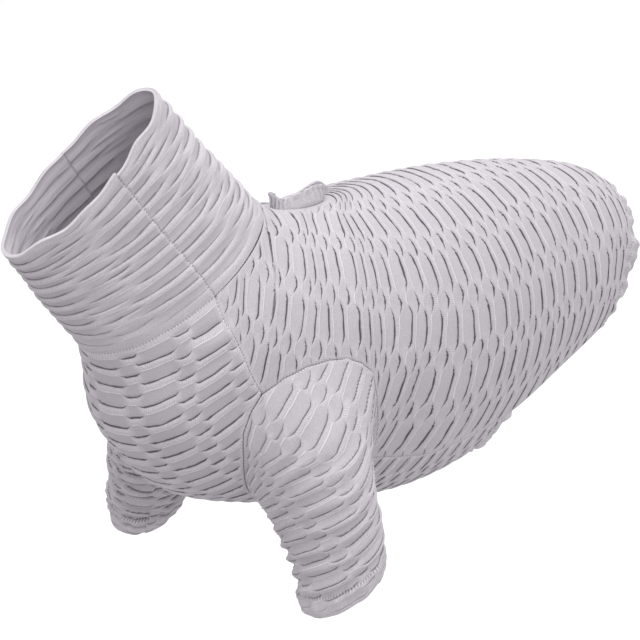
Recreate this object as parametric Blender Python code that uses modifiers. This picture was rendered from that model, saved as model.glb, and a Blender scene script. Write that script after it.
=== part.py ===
"""Dog turtleneck: ribbed knit jumper for a medium dog, held in its worn form.

Head toward -X, back up (+Z), the wearer's left side toward -Y. Metres.
The cloth follows one body surface, described by sections from the collar rim
to the rear hem. Each cut piece of cloth is a grid laid on that surface.
"""
import math

import bmesh
import bpy
import numpy as np

# Sizes
BACK_LENGTH = 0.305          # collar seam at the nape to the rear hem, along X
CHEST_DEPTH = 0.199          # back to brisket at the deepest section
CHEST_WIDTH = 0.158          # across the ribs
COLLAR_HEIGHT = 0.092        # collar seam to rim, along the neck
COLLAR_PITCH = 51.0          # neck direction above the horizontal, degrees
RIM_DEPTH = 0.125            # rim, throat to nape
RIM_WIDTH = 0.054            # rim, side to side
RIM_LEAN = 53.0              # rim leans back from upright, degrees
SLEEVE_DROP = 0.108          # torso axis down to the middle of the cuff
SLEEVE_SPREAD = 0.184        # between the two cuff middles
CUFF_DIAMETER = 0.051
RIGHT_SLEEVE_LONGER = 0.010  # the right sleeve hangs a little lower
RIGHT_SLEEVE_FORWARD = 0.008 # and a little further forward
CLOTH = 0.0016               # cloth thickness
RIB_PITCH = 0.0135           # one rib to the next on body and sleeves
COLLAR_RIB_PITCH = 0.0085    # the ribs crowd together on the relaxed collar
RIB_DEPTH = 0.0014
EDGE_PULL = 0.00035          # each cut edge stops this short of its seam
SLEEVE_PULL = 0.0009         # and the sleeve head this short of the armhole
SLIT_WIDTH = 0.011           # leash slit on the withers
WELT_HEIGHT = 0.019          # its raised lips, at their highest
WELT_GAP = 0.0004
CLOTH_COLOUR = (0.56, 0.53, 0.57)

# Collar sections from the seam up. Rise is a share of COLLAR_HEIGHT; depth,
# width and lean are shares of the way from the seam's own to the rim's.
COLLAR_SECTIONS = (
    # rise, depth, width, lean
    (0.22, 0.10, 0.28, -0.30),
    (0.60, 0.62, 0.80, 0.10),
    (1.00, 1.00, 1.00, 1.00),
)

# Torso sections. X as shares of BACK_LENGTH, Z as shares of CHEST_DEPTH,
# half width as a share of CHEST_WIDTH. The first row is the collar seam.
TORSO_SECTIONS = (
    # top x, top z, bottom x, bottom z, half width
    (-0.239, 0.558, -0.625, 0.226, 0.285),
    (-0.177, 0.497, -0.603, 0.131, 0.354),
    (-0.092, 0.492, -0.577, -0.060, 0.418),
    (0.000, 0.503, -0.452, -0.281, 0.475),
    (0.105, 0.503, -0.190, -0.422, 0.500),
    (0.210, 0.500, 0.052, -0.492, 0.487),
    (0.341, 0.483, 0.262, -0.458, 0.449),
    (0.492, 0.446, 0.452, -0.338, 0.399),
    (0.656, 0.380, 0.612, -0.222, 0.332),
    (0.758, 0.276, 0.692, -0.140, 0.248),
)
COLLAR_SIDE_DEGREES = (84, 92)   # side seams of the collar at rim and base
COLLAR_COLUMNS = 10
BACK_COLUMNS = 9    # each side of the slit
CHEST_COLUMNS = 10
WELT_COLUMNS = 16
SLEEVE_RIB_SHARE = 0.75  # the sleeve's ribs are looser
SEAM_ROW = 3.0       # section row of the collar seam, counted from the rim

# Seams as section row against degrees round from the back.
SIDE_EDGE = (
    # row, upper edge of armhole, lower edge of armhole
    (3.00, 92, 92),
    (3.70, 98, 98),
    (4.60, 102, 102),
    (5.25, 107, 107),
    (5.33, 98, 114),
    (5.50, 91, 122),
    (5.75, 86, 129),
    (6.00, 84, 137),
    (6.22, 85, 145),
    (6.42, 88, 152),
    (6.62, 97, 153),
    (6.82, 108, 147),
    (6.95, 117, 136),
    (7.00, 124, 124),
    (9.20, 124, 124),
    (12.0, 121, 121),
)
CORNER_ROW = 5.25    # where the chest seam meets the armhole
UNDERARM_ROW = 7.00  # where the side seam leaves the armhole
BELLY_ROW = 9.10     # belly hem
HEM_ROWS = (12.0, 11.97, 11.85, 11.67, 11.45, 11.12)  # rear hem, back to flank

# Soft folds of the worn cloth on the body, both sides.
FOLDS = (
    # row, degrees, rows long, degrees wide, height as a share of CLOTH
    (7.15, 104, 0.16, 20, -1.9),
    (7.75, 112, 0.22, 24, 1.2),
    (4.10, 128, 0.50, 9, -1.2),
    (4.60, 146, 0.45, 10, 1.1),
    (5.00, 118, 0.30, 12, -1.0),
    (10.9, 88, 0.35, 20, -1.6),
    (4.20, 14, 0.40, 14, 1.4),
    (8.60, 60, 0.60, 25, 0.9),
)

# Sleeve rings below the armhole. Shares of SLEEVE_DROP, half SLEEVE_SPREAD
# and half CUFF_DIAMETER; tip raises the outer side and rake the rear side,
# both as shares of the diameter.
SLEEVE_RINGS = (
    # fore and aft, out, down, long half, wide half, tip, rake
    (-0.76, 0.80, 0.44, 1.14, 1.24, 0.42, 0.08),
    (-0.735, 0.93, 0.72, 0.99, 1.10, 0.22, 0.16),
    (-0.735, 1.00, 0.950, 0.97, 0.98, 0.10, 0.24),
)

# Raised lips of the leash slit, round from the front end.
SLIT_ROWS = (3.75, 5.35)
WELT_SECTIONS = (
    # degrees round, height, flare, both shares of WELT_HEIGHT
    (0, 1.00, 0.10),
    (45, 0.80, 0.16),
    (90, 0.26, 0.20),
    (135, 0.48, 0.26),
    (180, 0.62, 0.14),
)


def clear_scene():
    for item in list(bpy.data.objects):
        bpy.data.objects.remove(item, do_unlink=True)


def through_rows(table, position):
    """Smooth curve through the rows of a table, at fractional row numbers."""
    rows = np.asarray(table, float)
    last = len(rows) - 1
    position = np.clip(np.asarray(position, float), 0, last)
    i = np.minimum(position.astype(int), last - 1)
    f = (position - i)[..., None]
    b = rows[i]
    c = rows[i + 1]
    a = np.where((i == 0)[..., None], 2 * b - c, rows[np.maximum(i - 1, 0)])
    d = np.where((i == last - 1)[..., None], 2 * c - b, rows[np.minimum(i + 2, last)])
    return b + f * ((c - a) / 2 + f * ((a - 2.5 * b + 2 * c - d / 2) + f * (1.5 * (b - c) + (d - a) / 2)))


def section_table():
    """All sections from rim to hem: top x, top z, bottom x, bottom z, half width."""
    size = np.array([BACK_LENGTH, CHEST_DEPTH, BACK_LENGTH, CHEST_DEPTH, CHEST_WIDTH])
    torso = np.array(TORSO_SECTIONS) * size
    top, bottom, half_width = torso[0, 0:2], torso[0, 2:4], torso[0, 4]
    centre = (top + bottom) / 2
    half = np.hypot(*(top - bottom)) / 2
    lean = math.atan2(top[0] - bottom[0], top[1] - bottom[1])
    pitch = math.radians(COLLAR_PITCH)
    collar = []
    for rise, depth, width, turn in COLLAR_SECTIONS:
        middle = centre + COLLAR_HEIGHT * rise * np.array([-math.cos(pitch), math.sin(pitch)])
        angle = lean + (math.radians(RIM_LEAN) - lean) * turn
        reach = (half + (RIM_DEPTH / 2 - half) * depth) * np.array([math.sin(angle), math.cos(angle)])
        wide = half_width + (RIM_WIDTH / 2 - half_width) * width
        collar.append((*(middle + reach), *(middle - reach), wide))
    return np.array(collar[::-1] + [tuple(row) for row in torso])


SECTIONS = section_table()


def body_point(row, degrees):
    """Point on the body: degrees run from the back (0) down the left side."""
    top_x, top_z, low_x, low_z, wide = np.moveaxis(through_rows(SECTIONS, row), -1, 0)
    turn = np.radians(degrees)
    share = (1 - np.cos(turn)) / 2
    return np.stack([top_x + (low_x - top_x) * share, -wide * np.sin(turn),
                     top_z + (low_z - top_z) * share], -1)


def body_folds(row, degrees):
    """Height of the soft folds over the smooth body."""
    height = np.zeros(np.shape(row))
    for fold_row, fold_turn, long, wide, share in FOLDS:
        along = ((row - fold_row) / long) ** 2
        for side in (-1, 1):
            height += share * CLOTH * np.exp(-along - ((degrees - side * fold_turn) / wide) ** 2)
    return height


def unit(vectors):
    return vectors / np.maximum(np.linalg.norm(vectors, axis=-1, keepdims=True), 1e-12)


def grid_normals(points, outside_of):
    """Unit normals of a grid of points, turned away from the inner points."""
    normals = unit(np.cross(np.gradient(points, axis=0), np.gradient(points, axis=1)))
    facing = np.sum(normals * (points - outside_of))
    return normals if facing > 0 else -normals


def pull_edges(points, first_row, last_row, sides):
    """Stop each sewn edge a little short of its seam."""
    pulled = points.copy()
    if first_row:
        pulled[0] += unit(points[1] - points[0]) * first_row
    if last_row:
        pulled[-1] += unit(points[-2] - points[-1]) * last_row
    if sides:
        pulled[:, 0] += unit(points[:, 1] - points[:, 0]) * sides
        pulled[:, -1] += unit(points[:, -2] - points[:, -1]) * sides
    return pulled


def even_rows(start, end, degrees, count):
    """Section rows from start to end, evenly spaced along the cloth."""
    fine = np.linspace(start, end, 60)
    path = body_point(fine, np.full(60, float(degrees)))
    steps = np.linalg.norm(np.diff(path, axis=0), axis=1)
    length = np.concatenate([[0.0], np.cumsum(steps)])
    return np.interp(np.linspace(0, length[-1], count + 1), length, fine), length[-1]


def side_stations(marks):
    """Section rows of the grid lines on the flank, two to a rib."""
    rows = [np.array([marks[0]])]
    for start, end in zip(marks, marks[1:]):
        length = even_rows(start, end, 108, 2)[1]
        count = max(2, 2 * round(length / RIB_PITCH))
        rows.append(even_rows(start, end, 108, count)[0][1:])
    return np.concatenate(rows)


def ribs(rows, plain_start, plain_end):
    """Alternate crest and valley rows, level at the sewn and hemmed ends."""
    height = np.where(np.arange(rows + 1) % 2 == 1, RIB_DEPTH, 0.0)
    height[:plain_start] = 0.0
    height[rows + 1 - plain_end:] = 0.0
    return height[:, None]


def knit_material(name, tint):
    material = bpy.data.materials.new(name)
    material.use_nodes = True
    shader = material.node_tree.nodes["Principled BSDF"]
    shader.inputs["Base Color"].default_value = (*[c * tint for c in CLOTH_COLOUR], 1)
    shader.inputs["Roughness"].default_value = 0.9
    shader.inputs["Metallic"].default_value = 0.0
    return material


def sheet(name, points, inside, height, tint, collection, drop_face=None, wrap=False):
    """One cut piece of cloth: a grid primitive laid on the points, then thickened."""
    rows, columns = points.shape[0] - 1, points.shape[1] - 1
    normals = grid_normals(points, inside)
    if wrap:
        normals[:, 0] = normals[:, -1] = unit(normals[:, 0] + normals[:, -1])
    laid = points + normals * height[..., None]
    bm = bmesh.new()
    bmesh.ops.create_grid(bm, x_segments=columns, y_segments=rows, size=0.5)
    spot = {v: (round((v.co.y + 0.5) * rows), round((v.co.x + 0.5) * columns)) for v in bm.verts}
    if drop_face:
        corners = {f: np.min([spot[v] for v in f.verts], axis=0) for f in bm.faces}
        gone = [f for f, (i, j) in corners.items() if drop_face(i, j)]
        bmesh.ops.delete(bm, geom=gone, context="FACES")
    for vert in bm.verts:
        vert.co = laid[spot[vert]]
    face = next(iter(bm.faces))
    face.normal_update()
    if np.dot(face.normal, normals[spot[face.verts[0]]]) < 0:
        bmesh.ops.reverse_faces(bm, faces=bm.faces)
    if wrap:
        bmesh.ops.remove_doubles(bm, verts=bm.verts, dist=0.00005)
    mesh = bpy.data.meshes.new(name)
    bm.to_mesh(mesh)
    bm.free()
    mesh.materials.append(knit_material(name + "_knit", tint))
    item = bpy.data.objects.new(name, mesh)
    collection.objects.link(item)
    solid = item.modifiers.new("cloth", "SOLIDIFY")
    solid.thickness = CLOTH
    solid.offset = -1
    return item


def body_middle(rows):
    """Middle of the body at each section row."""
    table = through_rows(SECTIONS, rows)
    return np.stack([(table[..., 0] + table[..., 2]) / 2, 0 * rows,
                     (table[..., 1] + table[..., 3]) / 2], -1)


def body_sheet(name, rows, degrees, plain, tint, collection, **more):
    """A sheet on the body between grids of section rows and degrees."""
    points = pull_edges(body_point(rows, degrees), *more.pop("pulls"))
    height = body_folds(rows, degrees) + ribs(rows.shape[0] - 1, *plain) * more.pop("fade", 1.0)
    return sheet(name, points, body_middle(rows), height, tint, collection, **more)


def collar_half(name, first, turn, collection):
    """Half the collar, between the two side seams; first is its first angle."""
    length = even_rows(0, SEAM_ROW, 90, 2)[1]
    count = max(4, 2 * round(length / COLLAR_RIB_PITCH))
    rows = even_rows(0, SEAM_ROW, 90, count)[0]
    seam = np.interp(rows, (0, SEAM_ROW), COLLAR_SIDE_DEGREES)
    across = np.linspace(-1, 1, COLLAR_COLUMNS + 1)
    span = seam if first == 0 else 180 - seam
    degrees = first + span[:, None] * across[None, :]
    grid = np.repeat(rows[:, None], len(across), 1)
    return body_sheet(name, grid, degrees, (2, 1), turn, collection,
                      pulls=(0, EDGE_PULL, EDGE_PULL))


def back_panel(collection):
    """Cloth over the back, with the slit on the withers and the rear hem."""
    end = HEM_ROWS[-1]
    side = side_stations((SEAM_ROW, CORNER_ROW, UNDERARM_ROW, BELLY_ROW, end))
    edge = np.interp(side, [r[0] for r in SIDE_EDGE], [r[1] for r in SIDE_EDGE])
    wide = through_rows(SECTIONS, side)[:, 4]
    slit = np.degrees(np.arcsin(SLIT_WIDTH / 2 / wide))
    share = np.linspace(0, 1, BACK_COLUMNS + 1)
    right = slit[:, None] + (edge - slit)[:, None] * share[None, :]
    degrees = np.concatenate([-right[:, ::-1], right], 1)
    hem = np.interp(share, np.linspace(0, 1, len(HEM_ROWS)), HEM_ROWS)
    hem = np.concatenate([hem[::-1], hem])
    past = np.maximum(side - BELLY_ROW, 0)[:, None] / (end - BELLY_ROW)
    rows = np.minimum(side, BELLY_ROW)[:, None] + past * (hem[None, :] - BELLY_ROW)
    first, last = (int(np.argmin(np.abs(side - row))) for row in SLIT_ROWS)
    middle = BACK_COLUMNS
    near = np.abs(np.arange(degrees.shape[1]) - middle - 0.5) < 2
    at_slit = (side > side[first - 1]) & (side < side[last + 1])
    fade = np.where(at_slit[:, None] & near[None, :], 0.0, 1.0)
    body_sheet("back_panel", rows, degrees, (1, 2), 1.0, collection, fade=fade,
               pulls=(EDGE_PULL, 0, EDGE_PULL),
               drop_face=lambda i, j: j == middle and first <= i < last)
    return side[first], side[last]


def chest_panel(collection):
    """Cloth down the chest, between the sleeves and along the belly."""
    side = side_stations((SEAM_ROW, CORNER_ROW, UNDERARM_ROW, BELLY_ROW))
    edge = np.interp(side, [r[0] for r in SIDE_EDGE], [r[2] for r in SIDE_EDGE])
    across = np.linspace(-1, 1, CHEST_COLUMNS + 1)
    degrees = 180 + (180 - edge)[:, None] * across[None, :]
    rows = np.repeat(side[:, None], len(across), 1)
    body_sheet("chest_panel", rows, degrees, (1, 2), 0.97, collection,
               pulls=(EDGE_PULL, 0, EDGE_PULL))


def sleeve(name, side, longer, forward, collection):
    """A sleeve set into the armhole, with a turned cuff. side is 1 on the left."""
    rim = side_stations((SEAM_ROW, CORNER_ROW, UNDERARM_ROW))
    rim = rim[rim >= CORNER_ROW - 1e-9]
    over = np.interp(rim, [r[0] for r in SIDE_EDGE], [r[1] for r in SIDE_EDGE])
    under = np.interp(rim, [r[0] for r in SIDE_EDGE], [r[2] for r in SIDE_EDGE])
    loop = np.concatenate([body_point(rim, over), body_point(rim[-2::-1], under[-2::-1])])[::2]
    middle = loop[:-1].mean(0)
    loop = loop + unit(middle - loop) * SLEEVE_PULL
    turn = np.arctan2(loop[:, 2] - middle[2], loop[:, 0] - middle[0])
    rings, inner = [loop], [middle]
    for fore, out, down, long, wide, tip, rake in SLEEVE_RINGS:
        drop = (SLEEVE_DROP + longer) * down
        centre = np.array([fore * SLEEVE_DROP - forward, -out * SLEEVE_SPREAD / 2, -drop])
        half = CUFF_DIAMETER / 2
        swing = np.stack([long * half * np.cos(turn), -wide * half * np.sin(turn),
                          CUFF_DIAMETER * (tip * np.sin(turn) + rake * np.cos(turn))], -1)
        rings.append(centre + swing)
        inner.append(centre)
    rings = np.array(rings)
    place = np.linspace(0, len(rings) - 1, 60)
    outer = int(np.argmax(loop[:, 2]))
    path = through_rows(rings[:, outer], place)
    length = np.concatenate([[0.0], np.cumsum(np.linalg.norm(np.diff(path, axis=0), axis=1))])
    count = max(4, 2 * round(length[-1] / RIB_PITCH * SLEEVE_RIB_SHARE))
    down = np.interp(np.linspace(0, length[-1], count + 1), length, place)
    points = np.stack([through_rows(rings[:, k], down) for k in range(len(loop))], 1)
    inside = np.repeat(through_rows(np.array(inner), down)[:, None], len(loop), 1)
    mirror = np.array([1.0, side, 1.0])
    height = np.repeat(ribs(count, 2, 2), len(loop), 1)
    return sheet(name, points * mirror, inside * mirror, height, 0.95, collection, wrap=True)


def leash_slit_welt(first, last, collection):
    """Raised, turned lips standing round the slit on the withers."""
    around = np.linspace(0, 360, WELT_COLUMNS + 1)
    turn = np.radians(around)
    ends = body_point(np.array([first, last]), np.zeros(2))
    reach = np.linalg.norm(ends[1] - ends[0]) / 2 - WELT_GAP
    share = np.sign(np.cos(turn)) * np.abs(np.cos(turn)) ** 0.7
    row = (first + last) / 2 - share * (last - first) / 2 * reach / (reach + WELT_GAP)
    aside = (SLIT_WIDTH / 2 - WELT_GAP) * np.sin(turn)
    wide = through_rows(SECTIONS, row)[:, 4]
    base = body_point(row, -np.degrees(np.arcsin(aside / wide)))
    folded = np.minimum(around, 360 - around)
    high = np.interp(folded, [w[0] for w in WELT_SECTIONS], [w[1] for w in WELT_SECTIONS])
    flare = np.interp(folded, [w[0] for w in WELT_SECTIONS], [w[2] for w in WELT_SECTIONS])
    outward = np.stack([-np.cos(turn), np.sin(turn), 0 * turn], -1)
    levels = np.array([-0.08, 0.3, 0.7, 1.0])[:, None, None] * WELT_HEIGHT
    spread = np.array([0.0, 0.0, 0.5, 1.0])[:, None, None] * WELT_HEIGHT
    up = np.array([0.0, 0.0, 1.0])
    points = base + levels * high[None, :, None] * up + spread * flare[None, :, None] * outward
    centre = body_point(np.array([(first + last) / 2]), np.zeros(1))[0]
    inside = np.broadcast_to(centre, points.shape)
    sheet("leash_slit_welt", points, inside, np.zeros(points.shape[:2]), 1.05, collection, wrap=True)


def build():
    clear_scene()
    collection = bpy.data.collections.new("dog_turtleneck")
    bpy.context.scene.collection.children.link(collection)
    collar_half("collar_back", 0, 1.0, collection)
    collar_half("collar_front", 180, 0.98, collection)
    first, last = back_panel(collection)
    leash_slit_welt(first, last, collection)
    chest_panel(collection)
    sleeve("left_sleeve", 1, 0.0, 0.0, collection)
    sleeve("right_sleeve", -1, RIGHT_SLEEVE_LONGER, RIGHT_SLEEVE_FORWARD, collection)


build()
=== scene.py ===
import math
import bmesh
import bpy
import numpy as np
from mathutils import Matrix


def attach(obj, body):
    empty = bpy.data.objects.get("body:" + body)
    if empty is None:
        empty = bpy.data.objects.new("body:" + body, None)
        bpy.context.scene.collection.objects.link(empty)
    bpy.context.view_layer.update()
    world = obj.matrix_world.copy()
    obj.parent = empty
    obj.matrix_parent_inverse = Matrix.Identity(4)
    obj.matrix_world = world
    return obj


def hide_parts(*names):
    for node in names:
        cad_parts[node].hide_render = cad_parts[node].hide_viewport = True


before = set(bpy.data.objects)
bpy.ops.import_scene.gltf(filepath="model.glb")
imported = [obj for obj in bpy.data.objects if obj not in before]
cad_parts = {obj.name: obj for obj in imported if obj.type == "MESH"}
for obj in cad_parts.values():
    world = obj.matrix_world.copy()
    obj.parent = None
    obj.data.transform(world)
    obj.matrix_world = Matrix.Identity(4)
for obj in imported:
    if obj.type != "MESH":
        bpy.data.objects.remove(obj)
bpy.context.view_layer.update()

# A ribbed, crinkled knit turtleneck for a dog, filled out as when worn.
# Head towards -X, back up, the wearer's left side towards -Y, metres.

camera = dict(azimuth=-40.0, elevation=21.0, distance=1.4, lens=129.9, target=(-0.020, 0.0, 0.0215))


def addCamera(c):
    # stands back from the target along the viewing angle and looks at it
    a, e = math.radians(c["azimuth"]), math.radians(c["elevation"])
    away = np.array([math.sin(a) * math.cos(e), -math.cos(a) * math.cos(e), math.sin(e)])
    data = bpy.data.cameras.new("camera")
    data.lens, data.sensor_width = c["lens"], 36
    data.clip_start, data.clip_end = 0.05, 20
    cam = bpy.data.objects.new("camera", data)
    cam.location = np.array(c["target"]) + away * c["distance"]
    cam.rotation_euler = (math.pi / 2 - e, 0, a)
    bpy.context.scene.collection.objects.link(cam)
    bpy.context.scene.camera = cam


addCamera(camera)
bpy.context.scene.view_settings.view_transform = "Standard"
print("camera placed")

body = dict(
    backLength=0.305, chestDepth=0.199, chestWidth=0.158,
    collarHeight=0.092, collarPitch=51.0, rimDepth=0.125, rimWidth=0.054, rimLean=53.0,
    cloth=0.0016,
    # collar sections from the seam up: rise, depth, width, lean
    collarSections=((0.22, 0.10, 0.28, -0.30), (0.60, 0.62, 0.80, 0.10), (1.0, 1.0, 1.0, 1.0)),
    # trunk sections: top x, top z, bottom x, bottom z, half width
    torsoSections=(
        (-0.239, 0.558, -0.625, 0.226, 0.285),
        (-0.177, 0.497, -0.603, 0.131, 0.354),
        (-0.092, 0.492, -0.577, -0.060, 0.418),
        (0.000, 0.503, -0.452, -0.281, 0.475),
        (0.105, 0.503, -0.190, -0.422, 0.500),
        (0.210, 0.500, 0.052, -0.492, 0.487),
        (0.341, 0.483, 0.262, -0.458, 0.449),
        (0.492, 0.446, 0.452, -0.338, 0.399),
        (0.656, 0.380, 0.612, -0.222, 0.332),
        (0.758, 0.276, 0.692, -0.140, 0.248)),
    # seams: section row, upper and lower edge of the armhole in degrees from the back
    sideEdge=(
        (3.00, 92, 92), (3.70, 98, 98), (4.60, 102, 102), (5.25, 107, 107), (5.33, 98, 114),
        (5.50, 91, 122), (5.75, 86, 129), (6.00, 84, 137), (6.22, 85, 145), (6.42, 88, 152),
        (6.62, 97, 153), (6.82, 108, 147), (6.95, 117, 136), (7.00, 124, 124), (9.20, 124, 124),
        (12.0, 121, 121)),
    slitRows=(3.860, 5.399),
    seamRow=3.0, cornerRow=5.25, underarmRow=7.0, bellyRow=9.1,
    hemRows=(12.0, 11.97, 11.85, 11.67, 11.45, 11.12),    # evenly spaced from the back to hemTurn
    hemTurn=121.0,
    hemBand=0.0115,      # hem edge to its line of stitches
    # soft folds of the worn cloth: row, degrees, rows long, degrees wide, height in cloths
    folds=(
        (7.15, 104, 0.16, 20, -1.9), (7.75, 112, 0.22, 24, 1.2), (4.10, 128, 0.50, 9, -1.2),
        (4.60, 146, 0.45, 10, 1.1), (5.00, 118, 0.30, 12, -1.0), (10.9, 88, 0.35, 20, -1.6),
        (4.20, 14, 0.40, 14, 1.4), (8.60, 60, 0.60, 25, 0.9), (9.75, 76, 0.22, 26, -1.1),
        (3.60, 108, 0.14, 10, -0.9), (3.95, 106, 0.13, 9, 0.8), (4.30, 112, 0.16, 9, -0.7)),
)


def throughRows(table, place):
    # smooth cubic curve through the rows of a table, read at fractional row numbers
    rows = np.asarray(table, float)
    last = len(rows) - 1
    place = np.clip(np.asarray(place, float), 0, last)
    i = np.minimum(place.astype(int), last - 1)
    f = (place - i)[..., None]
    b, c = rows[i], rows[i + 1]
    first, final = (i == 0)[..., None], (i == last - 1)[..., None]
    a = np.where(first, 2 * b - c, rows[np.maximum(i - 1, 0)])
    d = np.where(final, 2 * c - b, rows[np.minimum(i + 2, last)])
    return b + f * ((c - a) / 2 + f * ((a - 2.5 * b + 2 * c - d / 2) + f * (1.5 * (b - c) + (d - a) / 2)))


def sectionTable(b):
    # every section from the rim to the hem: top x, top z, bottom x, bottom z, half width
    torso = np.array(b["torsoSections"]) * [b["backLength"], b["chestDepth"], b["backLength"],
                                            b["chestDepth"], b["chestWidth"]]
    top, bottom, wide = torso[0, 0:2], torso[0, 2:4], torso[0, 4]
    centre, half = (top + bottom) / 2, np.hypot(*(top - bottom)) / 2
    lean = math.atan2(top[0] - bottom[0], top[1] - bottom[1])
    pitch = math.radians(b["collarPitch"])
    rows = []
    for rise, depth, width, turn in b["collarSections"]:
        middle = centre + b["collarHeight"] * rise * np.array([-math.cos(pitch), math.sin(pitch)])
        angle = lean + (math.radians(b["rimLean"]) - lean) * turn
        reach = (half + (b["rimDepth"] / 2 - half) * depth) * np.array([math.sin(angle), math.cos(angle)])
        rows.append((*(middle + reach), *(middle - reach), wide + (b["rimWidth"] / 2 - wide) * width))
    return np.array(rows[::-1] + [tuple(row) for row in torso])


sections = sectionTable(body)
sideEdge = np.array(body["sideEdge"])


def bodyPoint(row, degrees):
    # each section is an ellipse between its top and bottom points; 0 degrees is the back,
    # positive runs down the left side
    topX, topZ, lowX, lowZ, wide = np.moveaxis(throughRows(sections, row), -1, 0)
    turn = np.radians(degrees)
    share = (1 - np.cos(turn)) / 2
    return np.stack([topX + (lowX - topX) * share, -wide * np.sin(turn), topZ + (lowZ - topZ) * share], -1)


def bodyMiddle(row):
    t = throughRows(sections, row)
    return np.stack([(t[..., 0] + t[..., 2]) / 2, 0 * t[..., 0], (t[..., 1] + t[..., 3]) / 2], -1)


def unit(v):
    return v / np.maximum(np.linalg.norm(v, axis=-1, keepdims=True), 1e-12)


def smooth(x, low, high):
    # 0 at low, 1 at high, an S curve between
    f = np.clip((x - low) / (high - low), 0, 1)
    return f * f * (3 - 2 * f)


def bell(x, wide):
    # 1 at the middle, falling off on both sides as a Gaussian
    return np.exp(-(x / wide) ** 2)


def waver(x, y, seed):
    # slow wander from -1 to 1 made of three sine waves
    return (np.sin(x * 1.7 + y * 0.9 + seed) + np.sin(x * 0.6 - y * 1.3 + seed * 2.1)
            + np.sin(x * 2.9 + y * 2.2 + seed * 0.7)) / 3


def softFolds(row, degrees):
    # sum of Gaussian swells and dents, the same on both sides
    height = np.zeros(np.broadcast(row, degrees).shape)
    for foldRow, foldTurn, long, wide, share in body["folds"]:
        for side in (-1, 1):
            swell = bell(row - foldRow, long) * bell(degrees - side * foldTurn, wide)
            height += share * body["cloth"] * swell
    return height


crinkle = dict(
    ropeHeight=0.0010,   # rope above the lowest part of a flat
    tuckDepth=0.0010,    # tuck below it
    lipAndHighlight=0.20,            # share of the rope's height by which its far edge stands up
    flatTop=0.45,        # share of it at which a flat starts, falling to 0 at the tuck
    ropeRound=0.35,      # share of it by which a rope falls off towards its edges
    longHalf=0.35,       # half length of a long cell, in bands; the short ones fill the rest
    vary=0.03,           # how far that place may wander
    lipWide=0.04, tuckWide=0.035,    # in ribs
    # in bands: a tuck beside the long cells is whole up to the first place and gone at the second,
    # one beside the short cells begins at the first and is whole at the second
    longTuck=(0.29, 0.45), shortTuck=(0.25, 0.40),
)


def crinklePlaces(rib, s, band, seed, wander=1.0):
    # Where each point lies in the pattern: ribs across, bands of one long and one short cell
    # along. Both wander slowly, and so do the ends of the cells.
    v = s / band
    t = rib + wander * (0.05 * waver(v * 2.1, rib * 0.9, seed) + 0.025 * waver(v * 6.0, rib * 3.1, seed + 4))
    place = v + wander * (0.045 * waver(rib * 2.3, v * 0.4, seed + 1) + 0.025 * np.sin(rib * 5.1 + seed))
    return t, place, waver(rib * 3.7, v * 3.1, seed + 2)


def crinkleRelief(t, place, vary, rope, blur, soft=1.0):
    # Two lines run along each rib. Between them lie strips that turn from narrow raised ropes
    # into wide flats and back, the one strip where the other doesn't. A flat starts at the lip
    # of one rope and falls into the tuck beside the next. near = distance from a line, in ribs.
    c = crinkle
    middle = np.abs((place + 0.5) % 1.0 - 0.5) + c["vary"] * vary      # 0 in a long cell, 0.5 in a short one
    long = 1 - smooth(middle, c["longHalf"] - blur, c["longHalf"] + blur)
    first, second = (rope - 0.5) * (1 - long), 0.5 + (rope - 0.5) * long
    wide = second - first
    past = (t - first) % 1.0
    inFirst = past < wide
    share = np.where(inFirst, past / wide, (past - wide) / (1 - wide))
    ropeness = np.where(inFirst, long, 1 - long)
    height = ropeness * (1 - c["ropeRound"] * np.abs(2 * share - 1) ** 3) \
        + (1 - ropeness) * c["flatTop"] * (1 - share)
    nearFirst, nearSecond = np.minimum(past, 1 - past), np.abs((t - second + 0.5) % 1.0 - 0.5)
    height += c["lipAndHighlight"] * (bell(nearSecond, c["lipWide"]) * long + bell(nearFirst, c["lipWide"]) * (1 - long))
    tuckWide = c["tuckWide"] * soft
    tuckAndShade = bell(nearFirst, tuckWide) * (1 - smooth(middle, *c["longTuck"])) \
        + bell(nearSecond, tuckWide) * smooth(middle, *c["shortTuck"])
    # tucks differ a little in depth
    return (height - 0.5) * c["ropeHeight"] - tuckAndShade * (0.9 + 0.3 * vary) * c["tuckDepth"]


def ribSteps(first, last, each):
    # sample places across the ribs, crowded round the tucks at whole and half numbers
    base = (np.arange(each) + 0.5) / each
    base = base - 0.55 / (4 * np.pi) * np.sin(4 * np.pi * base)
    n = np.arange(math.floor(first), math.ceil(last) + 1)
    steps = (n[:, None] + base[None, :]).ravel()
    steps = steps[(steps > first + 0.01) & (steps < last - 0.01)]
    return np.concatenate([[first], steps, [last]])


def gridNormals(points, inside):
    n = unit(np.cross(np.gradient(points, axis=0), np.gradient(points, axis=1)))
    return n if np.sum(n * (points - inside)) > 0 else -n


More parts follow.
